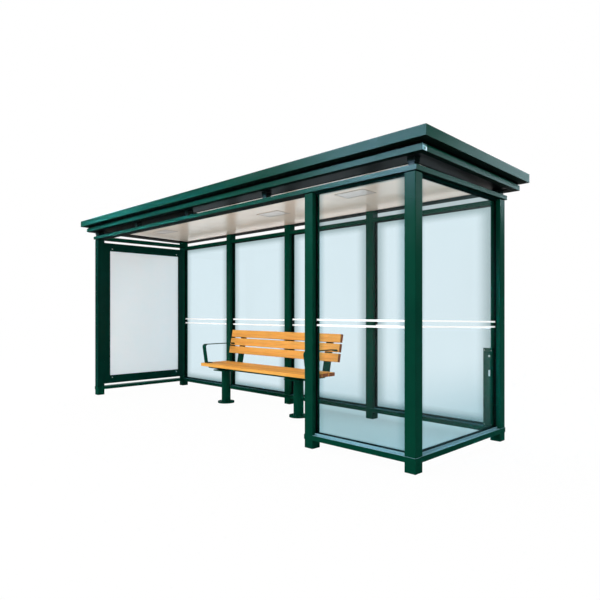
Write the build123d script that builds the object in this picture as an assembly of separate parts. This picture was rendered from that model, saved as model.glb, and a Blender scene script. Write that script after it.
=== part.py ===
from build123d import *
import math
import os

# Bus shelter with a flat overhanging roof, glass walls, a poster case at its left end and a bench.
# Millimetres. +X right along the length, +Y to the rear, +Z up.
# The origin is on the ground, in the middle of the footprint.

# ---- frame ----
length = 5000.0              # outer faces of the end posts
depth = 1400.0               # outer faces of the front and rear posts
post_size = 90.0             # square posts
post_edge_radius = 4.0
foot_height = 70.0
post_without_foot = "rear_left_inner_post"     # it stands on the rear rail alone
base_rail_height = 40.0
base_rail_overhang = 3.0     # base rails wider than the posts on both sides
header_bottom = 2080.0       # clear height under the front and right headers
header_height = 36.0
header_overhang = 14.0       # header wider than the posts on both sides
spigot_size = 62.0           # narrower top of each post, leaving a shadow line
spigot_height = 6.0
left_rail_height = 42.0      # rail between the two left posts, level with the headers' top
rear_rail_height = 42.0      # rails between the rear posts, up to the headers' underside
front_screen_width = 1058.0  # from the right end to the far side of the front middle post
rear_bay_right = 1354.0      # rear post pitches, from the right end
rear_bay_right_inner = 1243.0
rear_bay_left_inner = 1151.0

# ---- glazing ----
glass_thickness = 10.0
glass_side_gap = 3.0
channel_width = 30.0
lower_channel_height = 22.0
upper_channel_height = 16.0  # under the front and right headers
glass_seat = 15.0            # depth of glass held in a channel or rail
glass_play = 1.0             # clearance on each face of the glass in its channel

# ---- poster case ----
case_depth = 86.0
case_stile = 80.0
case_rail = 107.0
case_bottom_gap = 33.0       # above the base rail
case_top_gap = 43.0          # under the front header's underside
panel_set = 8.0              # panel behind each face of its frame

# ---- roof ----
stub_size = 62.0
left_stub_size = 84.0        # the wider stub of the front left corner
rear_stub_size = 80.0        # and of the rear right corner
stub_step = 5.0              # how far a stub's lower part is set in on each side
stub_height_lower = 32.0
stub_height_upper = 20.5     # at the middle of the roof
front_stub_places = (920.0, -320.0, -1412.0)   # between the corners
roof_fall = 0.0175           # drop to the rear per unit of depth
soffit_thickness = 43.0
ceiling_left_margin = 170.0  # pale ceiling inside the posts' outer faces
ceiling_right_margin = 90.0
ceiling_front_margin = 140.0
ceiling_rear_margin = 75.0
trim_end_overhang = 100.0    # lower trim past the posts
trim_side_overhang = 70.0
trim_depth = 50.0
recess_set = 12.0            # recess band behind the lower trim's face
recess_height = 26.0
fascia_end_overhang = 160.0
fascia_side_overhang = 128.0
fascia_height = 73.0
deck_step = 16.0             # deck below the top of the fascia
light_length = 320.0
light_width = 180.0
light_thickness = 30.0
light_proud = 2.0
light_places = ((1480.0, -90.0), (240.0, 45.0), (-1750.0, -90.0))

# ---- bench ----
bench_centre = -121.0        # along the length
bench_length = 1866.0
seat_front = 4.0             # behind the middle of the shelter
seat_height = 475.0
plank_width = 89.0
plank_thickness = 38.0
plank_gap = 12.5
seat_plank_count = 4
back_slat_count = 3
back_slat_pitch = 105.0
back_bottom_height = 580.0
back_bottom_set = 438.0      # front of the lowest slat behind the seat's front edge
back_lean = 11.2             # degrees from upright
timber_edge_radius = 4.0
pedestal_spacing = 1258.0
pedestal_set = 158.0         # pedestal centres behind the seat's front edge
pedestal_radius = 54.0
flange_radius = 100.0
flange_thickness = 20.0
top_plate_size = 220.0       # square plate on each pedestal
top_plate_thickness = 12.0
beam_width = 80.0
beam_height = 35.0
bracket_spacing = 1490.0
bracket_width = 88.0
bracket_thickness = 24.0     # of the upright bar behind the slats
bracket_front_set = 12.0     # tip of the seat arm behind the seat's front edge
bracket_tip_height = 12.0    # height of the seat arm at its tip
bracket_top_drop = 12.5      # upright bar's top below the top slat's upper edge
arm_inset = 20.0             # armrest inside the bench's end
arm_bar_width = 66.0
arm_bar_thickness = 8.0
arm_height = 236.0           # top of the armrest above the seat
arm_front_set = 6.0          # front bend of the armrest behind the seat's front edge
arm_foot_set = 42.0          # where the front leg meets the seat
arm_foot_length = 70.0
arm_bend_radius = 32.0
arm_tight_radius = 9.0       # at the foot and the tab
arm_tab_length = 16.0

# ---- cable cover on the rear right post ----
cover_width = 84.0
cover_depth = 26.0
cover_bottom = 118.0
cover_height = 680.0
cover_side_step = 55.0       # how far it stands out beside the post
cover_edge_radius = 3.0
cover_hole_radius = 9.0
cover_slot_length = 70.0
cover_slot_width = 17.0
cover_pocket_depth = 4.0
cover_hole_drop = 68.0       # below the cover's top
cover_slot_drop = 216.0

# ---- worked out ----
half_length = length / 2
half_depth = depth / 2
rail_top = foot_height + base_rail_height
header_top = header_bottom + header_height
post_top = header_bottom - spigot_height
post_half = post_size / 2
wall_line = half_depth - post_half           # middle plane of the front and rear walls
end_line = half_length - post_half           # middle plane of the end walls
middle_post_x = half_length - front_screen_width + post_half
rear_post_xs = (
    end_line,
    half_length - rear_bay_right - post_half,
    half_length - rear_bay_right - rear_bay_right_inner - post_half,
    half_length - rear_bay_right - rear_bay_right_inner - rear_bay_left_inner - post_half,
    -end_line,
)
soffit_height = header_top + stub_height_lower + stub_height_upper   # underside of the roof at its middle
roof_angle = math.degrees(math.atan(roof_fall))
recess_overhang = (trim_end_overhang - recess_set, trim_side_overhang - recess_set)
fascia_overhang = (fascia_end_overhang, fascia_side_overhang)
fascia_bottom = soffit_thickness + recess_height
seat_underside = seat_height - plank_thickness
seat_depth = seat_plank_count * plank_width + (seat_plank_count - 1) * plank_gap
bench_left = bench_centre - bench_length / 2
bench_right = bench_centre + bench_length / 2
pedestal_y = seat_front + pedestal_set
pedestal_top = seat_underside - beam_height - top_plate_thickness


def block(x0, x1, y0, y1, z0, z1):
    """A box between two corners."""
    return Pos(x0, y0, z0) * Box(x1 - x0, y1 - y0, z1 - z0, align=(Align.MIN, Align.MIN, Align.MIN))


def upright(x, y, size, z0, z1, radius=0.0):
    """A square upright centred on x, y."""
    post = block(x - size / 2, x + size / 2, y - size / 2, y + size / 2, z0, z1)
    if radius > 0:
        post = fillet(post.edges().filter_by(Axis.Z), radius)
    return post


def slab(points, z0, z1):
    """A flat-topped solid over a plan outline."""
    return Pos(0, 0, z0) * extrude(make_face(Polyline(*points, close=True)), z1 - z0)


def ring_side(name, outer, inner, z0, z1):
    """One mitred side of a ring whose edges pass the footprint by outer and inner, each (ends, sides)."""
    xo, yo = half_length + outer[0], half_depth + outer[1]
    xi, yi = half_length + inner[0], half_depth + inner[1]
    outlines = {
        "front": ((-xo, -yo), (xo, -yo), (xi, -yi), (-xi, -yi)),
        "rear": ((xo, yo), (-xo, yo), (-xi, yi), (xi, yi)),
        "right": ((xo, -yo), (xo, yo), (xi, yi), (xi, -yi)),
        "left": ((-xo, yo), (-xo, -yo), (-xi, -yi), (-xi, yi)),
    }
    return slab(outlines[name], z0, z1)


def plate_over(overhang, z0, z1):
    """A rectangular plate that stands out past the footprint by overhang, (ends, sides)."""
    x, y = half_length + overhang[0], half_depth + overhang[1]
    return block(-x, x, -y, y, z0, z1)


def on_roof(shape):
    """Carries a roof piece from its level drawing to its place, falling to the rear."""
    return Pos(0, 0, soffit_height) * Rot(-roof_angle, 0, 0) * shape


# ---- posts, rails and headers ----

def post(x, y):
    """A square post on the base rail: narrow at its top under a header, or else up to the roof."""
    under_header = y < 0 or x == end_line
    if not under_header:
        return under_roof(upright(x, y, post_size, rail_top, soffit_height + post_size, post_edge_radius))
    shaft = upright(x, y, post_size, rail_top, post_top, post_edge_radius)
    return shaft + upright(x, y, spigot_size, post_top, header_bottom)


def post_places():
    """Node names and centres of all the posts."""
    right, right_inner, middle, left_inner, left = rear_post_xs
    return {
        "front_left_post": (-end_line, -wall_line),
        "front_middle_post": (middle_post_x, -wall_line),
        "front_right_post": (end_line, -wall_line),
        "rear_left_post": (left, wall_line),
        "rear_left_inner_post": (left_inner, wall_line),
        "rear_middle_post": (middle, wall_line),
        "rear_right_inner_post": (right_inner, wall_line),
        "rear_right_post": (right, wall_line),
    }


def feet():
    """A short square foot under the base rail at each post but one, behind the bench's left pedestal."""
    places = post_places()
    del places[post_without_foot]
    shapes = [upright(x, y, post_size, 0, foot_height, post_edge_radius) for x, y in places.values()]
    return Compound(children=shapes)


def base_rail(name):
    """A base rail between mitred corners; the front one ends under the middle post."""
    inner = -post_size - base_rail_overhang
    rail = ring_side(name, (base_rail_overhang, base_rail_overhang), (inner, inner), foot_height, rail_top)
    if name == "front":
        start = middle_post_x - post_half - base_rail_overhang
        end = half_length + base_rail_overhang
        rail = rail & block(start, end, -end, end, foot_height, rail_top)
    return rail


def base_rails():
    """Front, right, rear and left rails, with a square end where the left end meets the open front."""
    rails = {name: base_rail(name) for name in ("front", "right", "rear", "left")}
    corner = upright(-end_line, -wall_line, post_size + 2 * base_rail_overhang, foot_height, rail_top)
    rails["left"] = rails["left"] + corner
    return rails


def headers():
    """Front and right headers over the posts, mitred where they meet, and a rail between the left posts."""
    x_out, y_out = half_length + header_overhang, half_depth + header_overhang
    x_in, y_in = half_length - post_size - header_overhang, half_depth - post_size - header_overhang
    front = ((-x_out, -y_out), (x_out, -y_out), (x_in, -y_in), (-x_out, -y_in))
    right = ((x_out, -y_out), (x_out, y_out), (x_in, y_out), (x_in, -y_in))
    left = block(-half_length, post_size - half_length, -y_in, half_depth - post_size,
                 header_top - left_rail_height, header_top)
    return {"front": slab(front, header_bottom, header_top),
            "right": slab(right, header_bottom, header_top), "left": left}


def rear_rails():
    """The rails between the rear posts, grooved underneath for the glass."""
    shapes = []
    for bay in glazed_bays().values():
        if bay[1] == wall_line:
            rail = in_bay(bay, bay[2], post_size, header_bottom - rear_rail_height, header_bottom)
            shapes.append(rail - glass_groove(bay))
    return Compound(children=shapes)


# ---- glazing ----

glass_bottom = rail_top + lower_channel_height - glass_seat
glass_top = header_bottom - upper_channel_height + glass_seat
rear_glass_top = header_bottom - rear_rail_height + glass_seat


def glazed_bays():
    """Node name, middle and clear width of each glazed bay, its wall's direction and the glass's top."""
    bays = {}
    names = ("rear_right_glass", "rear_right_inner_glass", "rear_left_inner_glass", "rear_left_glass")
    for name, right_x, left_x in zip(names, rear_post_xs, rear_post_xs[1:]):
        middle, clear = (right_x + left_x) / 2, right_x - left_x - post_size
        bays[name] = (middle, wall_line, clear, "along_x", rear_glass_top)
    clear = end_line - middle_post_x - post_size
    bays["front_glass"] = ((end_line + middle_post_x) / 2, -wall_line, clear, "along_x", glass_top)
    bays["right_glass"] = (end_line, 0, depth - 2 * post_size, "along_y", glass_top)
    return bays


def in_bay(bay, width, thickness, z0, z1):
    """A box in the middle plane of a bay."""
    x, y, _, run, _ = bay
    sx, sy = (width, thickness) if run == "along_x" else (thickness, width)
    return block(x - sx / 2, x + sx / 2, y - sy / 2, y + sy / 2, z0, z1)


def glass(bay):
    """A pane standing in its lower channel."""
    return in_bay(bay, bay[2] - 2 * glass_side_gap, glass_thickness, glass_bottom, bay[4])


def glass_groove(bay):
    """The space that a pane takes in the channels and rails which hold it."""
    return in_bay(bay, bay[2], glass_thickness + 2 * glass_play, glass_bottom, bay[4])


def glazing_channels():
    """A channel on the base rail in every bay, and one under the front and right headers."""
    shapes = []
    for bay in glazed_bays().values():
        lower = in_bay(bay, bay[2], channel_width, rail_top, rail_top + lower_channel_height)
        shapes.append(lower - glass_groove(bay))
        if bay[4] == glass_top:
            upper = in_bay(bay, bay[2], channel_width, header_bottom - upper_channel_height, header_bottom)
            shapes.append(upper - glass_groove(bay))
    return Compound(children=shapes)


# ---- poster case ----

case_bottom = rail_top + case_bottom_gap
case_top = header_bottom - case_top_gap
case_half = half_depth - post_size


def poster_frame():
    """The case's frame, filling the left end between its two posts."""
    x0, x1 = -end_line - case_depth / 2, -end_line + case_depth / 2
    outer = block(x0, x1, -case_half, case_half, case_bottom, case_top)
    side = case_half - case_stile
    return outer - block(x0, x1, -side, side, case_bottom + case_rail, case_top - case_rail)


def poster_panel():
    """The milky panel in the frame's opening, set back from both faces."""
    half = case_depth / 2 - panel_set
    x0, x1 = -end_line - half, -end_line + half
    side = case_half - case_stile
    return block(x0, x1, -side, side, case_bottom + case_rail, case_top - case_rail)


# ---- roof ----

def under_roof(shape):
    """Cuts a shape off at the roof's underside."""
    lean = math.radians(roof_angle)
    underside = Plane(origin=(0, 0, soffit_height), z_dir=(0, math.sin(lean), math.cos(lean)))
    return split(shape, bisect_by=underside, keep=Keep.BOTTOM)


def roof_stubs():
    """Stepped blocks that carry the roof on the front and right headers."""
    places = [(x, -wall_line, stub_size) for x in (*front_stub_places, end_line)]
    places.append((-end_line, -wall_line, left_stub_size))
    places.append((end_line, wall_line, rear_stub_size))
    shapes = []
    for x, y, size in places:
        step = header_top + stub_height_lower
        shaft = upright(x, y, size - 2 * stub_step, header_top, step)
        cap = upright(x, y, size, step, soffit_height + size)
        shapes.append(under_roof(shaft + cap))
    return Compound(children=shapes)


def ceiling_outline(z0, z1):
    """The box that the pale ceiling fills."""
    x0, x1 = ceiling_left_margin - half_length, half_length - ceiling_right_margin
    y0, y1 = ceiling_front_margin - half_depth, half_depth - ceiling_rear_margin
    return block(x0, x1, y0, y1, z0, z1)


def light_boxes():
    """The flat light boxes let into the ceiling."""
    half_x, half_y = light_length / 2, light_width / 2
    return [block(x - half_x, x + half_x, y - half_y, y + half_y, -light_proud, light_thickness)
            for x, y in light_places]


def ceiling_panel():
    """The pale panel over the waiting space, with a pocket for each light."""
    panel = ceiling_outline(0, soffit_thickness)
    for box in light_boxes():
        panel = panel - box
    return on_roof(panel)


def soffit_border():
    """The dark underside around the ceiling, inside the lower trim."""
    inner = (trim_end_overhang - trim_depth, trim_side_overhang - trim_depth)
    border = plate_over(inner, 0, soffit_thickness)
    return on_roof(border - ceiling_outline(0, soffit_thickness))


def long_trim(side):
    """The front (-1) or rear (1) lower trim, running past both ends."""
    x = half_length + trim_end_overhang
    outer = half_depth + trim_side_overhang
    near, far = sorted((side * (outer - trim_depth), side * outer))
    return on_roof(block(-x, x, near, far, 0, soffit_thickness))


def end_trims():
    """The lower trims of the two ends, between the long ones."""
    inner, outer = half_length + trim_end_overhang - trim_depth, half_length + trim_end_overhang
    y = half_depth + trim_side_overhang - trim_depth
    right = block(inner, outer, -y, y, 0, soffit_thickness)
    left = block(-outer, -inner, -y, y, 0, soffit_thickness)
    return Compound(children=[on_roof(right), on_roof(left)])


def recess_band():
    """The set-back black band between the lower trim and the fascia."""
    return on_roof(plate_over(recess_overhang, soffit_thickness, fascia_bottom))


def fascia(name):
    """One mitred side of the deep roof edge."""
    top = fascia_bottom + fascia_height
    return on_roof(ring_side(name, fascia_overhang, recess_overhang, fascia_bottom, top))


def roof_deck():
    """The deck inside the fascia, a little lower than its top."""
    return on_roof(plate_over(recess_overhang, fascia_bottom, fascia_bottom + fascia_height - deck_step))


# ---- bench ----

def back_point(rise, behind):
    """A point of the backrest's side view: rise along the slats' front plane, behind it squarely."""
    lean = math.radians(back_lean)
    y = seat_front + back_bottom_set + rise * math.sin(lean) + behind * math.cos(lean)
    z = back_bottom_height + rise * math.cos(lean) - behind * math.sin(lean)
    return y, z


def back_at(height, behind):
    """The point at a height on the plane that lies behind the slats' front plane by so much."""
    lean = math.radians(back_lean)
    rise = (height - back_bottom_height + behind * math.sin(lean)) / math.cos(lean)
    return back_point(rise, behind)


def timber(shape):
    """Rounds the long edges of a board."""
    return fillet(shape.edges().filter_by(Axis.X), timber_edge_radius)


def seat_planks():
    """The seat's planks, from front to back."""
    shapes = []
    for i in range(seat_plank_count):
        y = seat_front + i * (plank_width + plank_gap)
        plank = block(bench_left, bench_right, y, y + plank_width, seat_underside, seat_height)
        shapes.append(timber(plank))
    return Compound(children=shapes)


def back_slats():
    """The leaning slats, from the lowest up."""
    shapes = []
    for i in range(back_slat_count):
        y, z = back_point(i * back_slat_pitch, 0)
        slat = timber(block(bench_left, bench_right, 0, plank_thickness, 0, plank_width))
        shapes.append(Pos(0, y, z) * Rot(-back_lean, 0, 0) * slat)
    return Compound(children=shapes)


def pedestals():
    """The two round pedestals with their base flanges and square top plates."""
    shapes = []
    on_base = (Align.CENTER, Align.CENTER, Align.MIN)
    for side in (-1, 1):
        x = bench_centre + side * pedestal_spacing / 2
        flange = Pos(x, pedestal_y, 0) * Cylinder(flange_radius, flange_thickness, align=on_base)
        tube = Pos(x, pedestal_y, 0) * Cylinder(pedestal_radius, pedestal_top, align=on_base)
        plate = upright(x, pedestal_y, top_plate_size, pedestal_top, pedestal_top + top_plate_thickness)
        shapes.append(flange + tube + plate)
    return Compound(children=shapes)


def bracket_outline():
    """Side view of a bracket: an arm under the seat and a leaning bar behind the slats."""
    low_z = seat_underside - beam_height
    rise_top = (back_slat_count - 1) * back_slat_pitch + plank_width - bracket_top_drop
    front_y = seat_front + bracket_front_set
    return Plane.YZ * make_face(Polyline(
        (front_y, seat_underside),
        back_at(seat_underside, plank_thickness),
        back_point(rise_top, plank_thickness),
        back_point(rise_top, plank_thickness + bracket_thickness),
        back_at(seat_underside, plank_thickness + bracket_thickness),
        (seat_front + seat_depth, low_z),
        (pedestal_y - beam_width / 2, low_z),
        (front_y, seat_underside - bracket_tip_height),
        close=True,
    ))


def bench_supports():
    """A beam on the pedestals, with a bracket welded to each end."""
    half = bracket_spacing / 2
    beam = block(bench_centre - half, bench_centre + half, pedestal_y - beam_width / 2,
                 pedestal_y + beam_width / 2, seat_underside - beam_height, seat_underside)
    shape = beam
    for side in (-1, 1):
        x = bench_centre + side * half - bracket_width / 2
        shape = shape + Pos(x, 0, 0) * extrude(bracket_outline(), bracket_width)
    return shape


def arm_line():
    """Middle line of an armrest's bar, from its foot on the seat to its tab on the backrest."""
    half = arm_bar_thickness / 2
    top = seat_height + arm_height - half
    foot = (seat_front + arm_foot_set, seat_height + half)
    reach = (top - back_bottom_height) / math.cos(math.radians(back_lean))
    end_y, end_z = back_point(reach, -half)
    tab_y, tab_z = back_point(reach - arm_tab_length, -half)
    return FilletPolyline(
        (foot[0] + arm_foot_length, foot[1]),
        foot,
        (seat_front + arm_front_set, top),
        (end_y, end_z),
        (tab_y, tab_z),
        radius=(arm_tight_radius, arm_bend_radius, arm_tight_radius),
    )


def armrests():
    """A bent flat bar at each end of the bench."""
    profile = Plane.YZ * trace(arm_line(), arm_bar_thickness)
    shapes = []
    for x in (bench_left + arm_inset, bench_right - arm_inset - arm_bar_width):
        shapes.append(Pos(x, 0, 0) * extrude(profile, arm_bar_width))
    return Compound(children=shapes)


# ---- cable cover ----

def cable_cover():
    """A tall shallow box on the front of the rear right post, with a round pocket and a slot."""
    x0 = half_length - post_size - cover_side_step
    x1 = x0 + cover_width
    y1 = half_depth - post_size
    y0 = y1 - cover_depth
    top = cover_bottom + cover_height
    cover = block(x0, x1, y0, y1, cover_bottom, top)
    cover = fillet(cover.edges().filter_by(Axis.Z).group_by(Axis.Y)[0], cover_edge_radius)
    x = half_length - post_size
    face = Plane(origin=(x, y0, top), x_dir=(1, 0, 0), z_dir=(0, -1, 0))
    hole = Pos(0, -cover_hole_drop) * Circle(cover_hole_radius)
    slot = Pos(0, -cover_slot_drop) * Rot(0, 0, 90) * SlotOverall(cover_slot_length, cover_slot_width)
    for mark in (hole, slot):
        cover = cover - extrude(face * mark, -cover_pocket_depth)
    return cover


# ---- write every node ----

nodes = {name: post(x, y) for name, (x, y) in post_places().items()}
nodes["post_feet"] = feet()
for name, rail in base_rails().items():
    nodes[name + "_base_rail"] = rail
for name, shape in headers().items():
    nodes[name + "_header"] = shape
nodes["rear_header"] = rear_rails()
nodes["glazing_channels"] = glazing_channels()
for name, bay in glazed_bays().items():
    nodes[name] = glass(bay)
nodes["poster_frame"] = poster_frame()
nodes["poster_panel"] = poster_panel()
nodes["roof_stubs"] = roof_stubs()
nodes["soffit_border"] = soffit_border()
nodes["ceiling_panel"] = ceiling_panel()
nodes["ceiling_lights"] = Compound(children=[on_roof(box) for box in light_boxes()])
nodes["front_lower_trim"] = long_trim(-1)
nodes["rear_lower_trim"] = long_trim(1)
nodes["end_lower_trims"] = end_trims()
nodes["recess_band"] = recess_band()
for name in ("front", "right", "rear", "left"):
    nodes[name + "_fascia"] = fascia(name)
nodes["roof_deck"] = roof_deck()
nodes["bench_seat_planks"] = seat_planks()
nodes["bench_back_slats"] = back_slats()
nodes["bench_pedestals"] = pedestals()
nodes["bench_supports"] = bench_supports()
nodes["bench_armrests"] = armrests()
nodes["cable_cover"] = cable_cover()

os.makedirs("parts", exist_ok=True)
for name, shape in nodes.items():
    export_step(shape, "parts/" + name + ".step")
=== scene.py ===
import math

import bmesh
import bpy
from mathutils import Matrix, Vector


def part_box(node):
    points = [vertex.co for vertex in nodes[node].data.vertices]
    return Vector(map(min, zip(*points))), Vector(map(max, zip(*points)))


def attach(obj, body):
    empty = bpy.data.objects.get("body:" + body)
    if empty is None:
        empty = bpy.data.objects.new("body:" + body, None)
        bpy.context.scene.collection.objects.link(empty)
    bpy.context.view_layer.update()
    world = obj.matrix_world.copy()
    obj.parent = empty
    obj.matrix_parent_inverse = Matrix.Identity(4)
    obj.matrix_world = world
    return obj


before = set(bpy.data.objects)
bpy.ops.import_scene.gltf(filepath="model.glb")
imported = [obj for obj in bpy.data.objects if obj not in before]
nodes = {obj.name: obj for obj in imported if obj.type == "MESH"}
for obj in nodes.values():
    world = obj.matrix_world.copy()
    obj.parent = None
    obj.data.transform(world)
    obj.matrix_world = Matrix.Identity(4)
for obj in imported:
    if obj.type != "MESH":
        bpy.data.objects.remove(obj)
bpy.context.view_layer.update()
bpy.ops.object.select_all(action="DESELECT")

# ---- sizes, in metres ----
STRIPES = {                        # heights of the two white lines on each pane
    "front_glass": (1.047, 1.003),
    "right_glass": (1.049, 1.006),
    "rear_right_glass": (1.025, 0.971),
    "rear_right_inner_glass": (1.018, 0.951),
    "rear_left_inner_glass": (1.009, 0.943),
    "rear_left_glass": (1.003, 0.943),
}
STRIPE_FALL = {"right_glass": 0.024}   # how much lower a pane's lines end at its rear
STRIPE_WIDTHS = {"front_glass": 0.0145, "right_glass": 0.0135, "rear_right_glass": 0.012}
REAR_STRIPE_WIDTH = 0.018          # on the other rear panes
FILM_THICKNESS = 0.0005
GASKET_GAP = 0.003                 # between a pane and its post
GASKET_GRIP = 0.009                # of the pane inside the rubber
GASKET_LIP = 0.0025
CHANNEL_LOW = 0.132                # top of the channels on the base rails
GLASS_SEAT = 0.015                 # of the pane inside the channels and rails
RAIL_TOP = 0.110                   # of the base rails
ROOF_ANGLE = math.atan(0.0175)     # its fall to the rear
SOFFIT_HEIGHT = 2.1685             # underside of the roof at its middle
TRIM_END_X = 2.600                 # cut ends of the long lower trims
TRIM_FRONT_Y, TRIM_DEPTH, TRIM_HEIGHT = -0.770, 0.050, 0.043
CEILING_LOW_X, CEILING_LOW_Y = -2.332, -0.562      # outer edges of the bead round the ceiling
CEILING_HIGH_X, CEILING_HIGH_Y = 2.412, 0.627
LIGHT_PLACES = ((1.480, -0.090), (0.240, 0.045), (-1.750, -0.090))
DECK_TOP = 0.126                   # above the underside of the roof
SCREW_RADIUS, SCREW_HEIGHT = 0.0075, 0.003
POSTER_SCREW_SET = 0.030           # of the case's screws from the corners of its opening
POSTER_RAIL, POSTER_STILE = 0.107, 0.080
PANEL_SET = 0.008                  # of the milky panel behind the frame's faces
COVER_POCKET_X = 2.410             # middle of the cable cover's pockets, at the post's inner face
COVER_HOLE_DROP, COVER_SLOT_DROP = 0.068, 0.216    # of the pockets below the cover's top
TOP_PLATE = 0.220                  # square plates on the pedestals, as wide as the node
FLANGE_TOP, BEAM_BOTTOM = 0.020, 0.402
BACK_LEAN = math.radians(11.2)     # from upright
BACK_FRONT_Y, BACK_BOTTOM = 0.442, 0.580           # front of the lowest slat, at its foot
SLAT_THICKNESS, BRACKET_THICKNESS, BRACKET_WIDTH = 0.038, 0.024, 0.088
ARM_BAR_WIDTH, ARM_FOOT_TOP = 0.066, 0.483


# ================= finishes =================

def linear(code):
    """The linear RGBA colour of an sRGB hex value."""
    shares = [int(code[i:i + 2], 16) / 255 for i in (1, 3, 5)]
    return [s / 12.92 if s <= 0.04045 else ((s + 0.055) / 1.055) ** 2.4 for s in shares] + [1.0]


def add(tree, kind, inputs=None, stops=None, **settings):
    """Adds a node. inputs pairs sockets with values or other nodes' outputs; stops are a ramp's colours."""
    made = tree.nodes.new("ShaderNode" + kind)
    for name, value in settings.items():
        setattr(made, name, value)
    for socket, value in (inputs or {}).items():
        if isinstance(value, bpy.types.NodeSocket):
            tree.links.new(value, made.inputs[socket])
        else:
            made.inputs[socket].default_value = value
    if stops:
        ramp = made.color_ramp
        while len(ramp.elements) < len(stops):
            ramp.elements.new(0.5)
        for element, (place, colour) in zip(ramp.elements, stops):
            element.position, element.color = place, linear(colour)
    return made


def new_finish(name, ior=1.5, specular=0.5):
    """A material's tree, its shader and the place on the piece, in metres."""
    material = bpy.data.materials.new(name)
    material.use_nodes = True
    tree = material.node_tree
    shader = tree.nodes["Principled BSDF"]
    shader.inputs["IOR"].default_value = ior
    shader.inputs["Specular IOR Level"].default_value = specular
    return material, tree, shader, add(tree, "TexCoord").outputs["Object"]


def powder_coat(name, pale, deep, specular=0.05):
    # Polyester powder coat on steel and aluminium: an even satin skin. Up close it has orange peel about
    # 4 mm across, drawn at 7 mm so that it shows, and the film's depth makes the green drift a little.
    # Undersides are painted darker as shade, and rougher so that they stay dark.
    material, tree, shader, place = new_finish(name, 1.5, specular)
    drift = add(tree, "TexNoise", {"Vector": place, "Scale": 2.3, "Detail": 3.0, "Roughness": 0.55})
    colour = add(tree, "ValToRGB", {"Fac": drift.outputs["Fac"]}, [(0.3, deep), (0.7, pale)])
    smear = add(tree, "TexNoise", {"Vector": place, "Scale": 9.0, "Detail": 4.0})
    rough = add(tree, "MapRange", {"Value": smear.outputs["Fac"], "From Min": 0.3, "From Max": 0.7,
                                   "To Min": 0.20, "To Max": 0.27})
    peel = add(tree, "TexNoise", {"Vector": place, "Scale": 1 / 0.007, "Detail": 1.0})
    bump = add(tree, "Bump", {"Height": peel.outputs["Fac"], "Strength": 0.08, "Distance": 0.0006})
    facing = add(tree, "SeparateXYZ", {"Vector": add(tree, "NewGeometry").outputs["Normal"]})
    # Painted shade: faces that look down keep only about a tenth of their colour.
    underside_painted_shade = add(tree, "MapRange", {"Value": facing.outputs["Z"], "From Min": -0.9, "From Max": -0.4,
                                   "To Min": 0.10, "To Max": 1.0})
    dull = add(tree, "MapRange", {"Value": facing.outputs["Z"], "From Min": -0.9, "From Max": -0.4,
                                  "To Min": 0.6, "To Max": 0.0})
    skin = add(tree, "Math", {0: rough.outputs["Result"], 1: dull.outputs["Result"]}, operation="ADD")
    coat = add(tree, "VectorMath", {0: colour.outputs["Color"], "Scale": underside_painted_shade.outputs["Result"]},
               operation="SCALE")
    tree.links.new(coat.outputs[0], shader.inputs["Base Color"])
    tree.links.new(skin.outputs[0], shader.inputs["Roughness"])
    tree.links.new(bump.outputs["Normal"], shader.inputs["Normal"])
    return material


def toughened_glass(pane, middle, rim, side_reach, end_reach, ior, low_shade_strength):
    # Toughened float glass, 10 mm: clear with a pale blue cast. A soft border along the posts and rails
    # is painted darker as the frame's shade, and low down the pane is painted darker and bluer as the
    # shade of the ground seen through it.
    material, tree, shader, place = new_finish("toughened_glass_" + pane, ior, 0.1)
    low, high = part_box(pane)
    run = 0 if high.x - low.x > high.y - low.y else 1
    parts = add(tree, "SeparateXYZ", {"Vector": place})
    clear = None
    for axis, grip, reach in ((run, 0.0, side_reach), (2, GLASS_SEAT, end_reach)):
        centre, half = (low[axis] + high[axis]) / 2, (high[axis] - low[axis]) / 2 - grip
        off = add(tree, "Math", {0: parts.outputs[axis], 1: centre}, operation="SUBTRACT")
        out = add(tree, "Math", {0: off.outputs[0]}, operation="ABSOLUTE")
        inward = add(tree, "MapRange", {"Value": out.outputs[0], "From Min": half, "From Max": half - reach,
                                        "To Min": 0.0, "To Max": 1.0}, interpolation_type="SMOOTHSTEP")
        level = inward.outputs["Result"]
        if clear is None:
            clear = level
        else:
            clear = add(tree, "Math", {0: clear, 1: level}, operation="MULTIPLY").outputs[0]
    cloud = add(tree, "TexNoise", {"Vector": place, "Scale": 1.7, "Detail": 2.0})
    shift = add(tree, "Math", {0: cloud.outputs["Fac"], 1: 0.12, 2: -0.06}, operation="MULTIPLY_ADD")
    level = add(tree, "Math", {0: clear, 1: shift.outputs[0]}, operation="ADD", use_clamp=True)
    # The rim colour is the painted shade along the posts and rails.
    colour = add(tree, "ValToRGB", {"Fac": level.outputs[0]}, [(0.0, rim), (1.0, middle)])
    # Painted shade: low down, the pane is tinted a darker blue for the shaded ground behind it.
    painted_low_shade = add(tree, "MapRange", {"Value": parts.outputs["Z"], "From Min": 0.15, "From Max": 0.80,
                                    "To Min": low_shade_strength, "To Max": 0.0}, interpolation_type="SMOOTHSTEP")
    film = add(tree, "Mix", {0: painted_low_shade.outputs["Result"], 6: colour.outputs["Color"], 7: linear("#A9CBD3")},
               data_type="RGBA")
    tree.links.new(film.outputs[2], shader.inputs["Base Color"])
    shader.inputs["Transmission Weight"].default_value = 1.0
    shader.inputs["Roughness"].default_value = 0.0
    open_shade = add(tree, "BsdfTransparent", {"Color": linear("#DCEBEE")})
    rays = add(tree, "LightPath")
    mix = add(tree, "MixShader", {0: rays.outputs["Is Shadow Ray"], 1: shader.outputs[0],
                                  2: open_shade.outputs[0]})
    tree.links.new(mix.outputs[0], tree.nodes["Material Output"].inputs["Surface"])
    return material


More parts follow.
